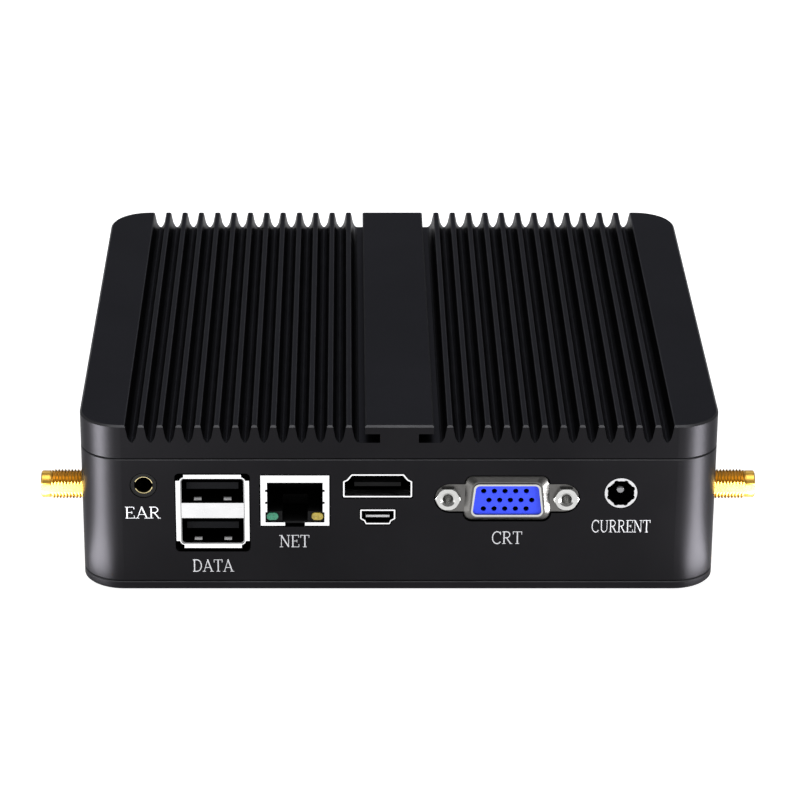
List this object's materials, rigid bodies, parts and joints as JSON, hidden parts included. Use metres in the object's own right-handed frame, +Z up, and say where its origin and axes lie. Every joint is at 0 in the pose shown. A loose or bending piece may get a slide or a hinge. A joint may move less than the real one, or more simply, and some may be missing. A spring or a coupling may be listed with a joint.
{
  "type": "mini pc",
  "caption": "Fanless mini computer with a finned heatsink cover, a frame with a row of ports, side aerial sockets, and a power button opposite the ports.",
  "frame": {"origin": "under the middle of the case, level with the bottom of the feet", "axes": "+Z up, -Y out of the port side, +Y out of the power button side, +X to the right when facing the ports"},
  "size_m": [0.1538, 0.1277, 0.04],
  "materials": {
    "anodised_black": "fine-blasted black anodising",
    "anodised_frame": "fine-blasted black anodising",
    "anodised_plate": "fine-blasted black anodising",
    "rubber_black": "matte",
    "screw_black": "black oxide",
    "nickel": "nickel plate",
    "dark_nickel": "dark nickel plate",
    "tinned_shell": "bright tin plate",
    "gold_plate": "gold plate",
    "connector_black": "moulded",
    "connector_blue": "moulded",
    "ptfe_white": "smooth",
    "board_green": "solder mask",
    "chip_black": "moulded",
    "inductor_grey": "pressed ferrite",
    "capacitor_can": "satin",
    "cell_steel": "satin",
    "pad_grey": "soft",
    "lead_grey": "jacket",
    "lamp_green": "tinted clear",
    "lamp_yellow": "tinted clear",
    "lamp_clear": "clear",
    "button_black": "satin"
  },
  "bodies": {
    "chassis": {"heatsink_cover": "anodised_black", "case_frame": "anodised_frame", "bottom_plate": "anodised_plate", "rubber_feet": "rubber_black", "case_screws": "screw_black", "vesa_inserts": "nickel", "main_board": "board_green", "board_screws": "nickel", "cpu_package": "chip_black", "thermal_pad": "pad_grey", "memory_socket": "connector_black", "memory_module": "board_green", "wireless_socket": "connector_black", "wireless_card": "board_green", "ssd_socket": "connector_black", "ssd_card": "board_green", "card_screws": "nickel", "coin_cell_holder": "connector_black", "coin_cell": "cell_steel", "board_chips": "chip_black", "board_inductors": "inductor_grey", "board_capacitors": "capacitor_can", "aerial_jack_left": "gold_plate", "aerial_jack_right": "gold_plate", "aerial_insulators": "ptfe_white", "aerial_contacts": "gold_plate", "aerial_lock_washers": "gold_plate", "aerial_nuts": "gold_plate", "aerial_lead_left": "lead_grey", "aerial_lead_right": "lead_grey", "aerial_lead_plugs": "gold_plate", "audio_jack_body": "connector_black", "audio_jack_contacts": "gold_plate", "rear_usb_shell": "tinned_shell", "front_usb_shell": "tinned_shell", "usb_inserts": "connector_black", "usb_contacts": "gold_plate", "network_shield": "tinned_shell", "network_insert": "connector_black", "network_contacts": "gold_plate", "network_lamp_green": "lamp_green", "network_lamp_yellow": "lamp_yellow", "video_shell": "tinned_shell", "video_tongue": "connector_black", "micro_video_shell": "tinned_shell", "micro_video_tongue": "nickel", "micro_video_board": "board_green", "micro_video_header": "connector_black", "vga_flange": "dark_nickel", "vga_shell": "nickel", "vga_insert": "connector_blue", "vga_contacts": "gold_plate", "vga_jackscrews": "nickel", "dc_jack_body": "connector_black", "dc_jack_sleeve": "nickel", "dc_jack_pin": "nickel", "power_switch_body": "connector_black", "lamp_pipes": "lamp_clear"},
    "power_button": {"power_button": "button_black"},
    "switch_plunger": {"power_switch_plunger": "connector_black"}
  },
  "joints": [
    {"name": "power_button_press", "type": "slide", "parent": "chassis", "child": "power_button", "axis": [0, -1, 0], "range_m": [0, 0.0008], "stiffness_N_per_m": 800, "springref_m": -0.001},
    {"name": "switch_plunger_press", "type": "slide", "parent": "chassis", "child": "switch_plunger", "axis": [0, -1, 0], "range_m": [0, 0.0008]}
  ],
  "couplings": [
    {"joint": "switch_plunger_press", "follows": "power_button_press", "ratio": 1}
  ]
}
